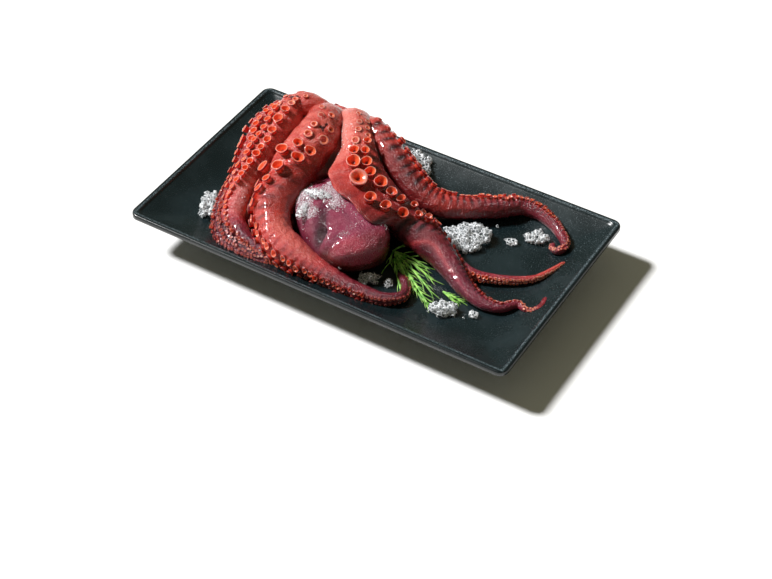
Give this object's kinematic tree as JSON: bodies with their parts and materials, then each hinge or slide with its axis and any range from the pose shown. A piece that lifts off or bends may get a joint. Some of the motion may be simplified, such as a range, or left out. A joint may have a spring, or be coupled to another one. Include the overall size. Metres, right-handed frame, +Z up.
{
  "type": "whole octopus on platter",
  "caption": "Whole cooked octopus, mantle and arms with suckers, draped over a dark rectangular platter with crushed ice and dill.",
  "frame": {"origin": "middle of the platter's base, on the surface it stands on", "axes": "+X along the platter's long side, +Z up; the octopus's arms spread towards +X and its ridge lies along the -X half"},
  "size_m": [0.4, 0.23, 0.1015],
  "materials": {
    "stoneware": "satin dark slate glaze with fine pale specks",
    "octopus_skin": "moist cooked skin, coral red to dark maroon, glossy orange-red suckers",
    "ice": "clear crushed ice",
    "dill": "fresh green herb"
  },
  "bodies": {
    "root": {"plate": "stoneware", "octopus": "octopus_skin", "ice_left": "ice", "ice_back": "ice", "ice_middle": "ice", "ice_small": "ice", "ice_right": "ice", "ice_front": "ice", "ice_front_small": "ice", "ice_corner": "ice", "ice_corner_small": "ice", "ice_neck": "ice", "ice_fold": "ice", "dill_sprig": "dill", "dill_tip": "dill"}
  },
  "joints": []
}
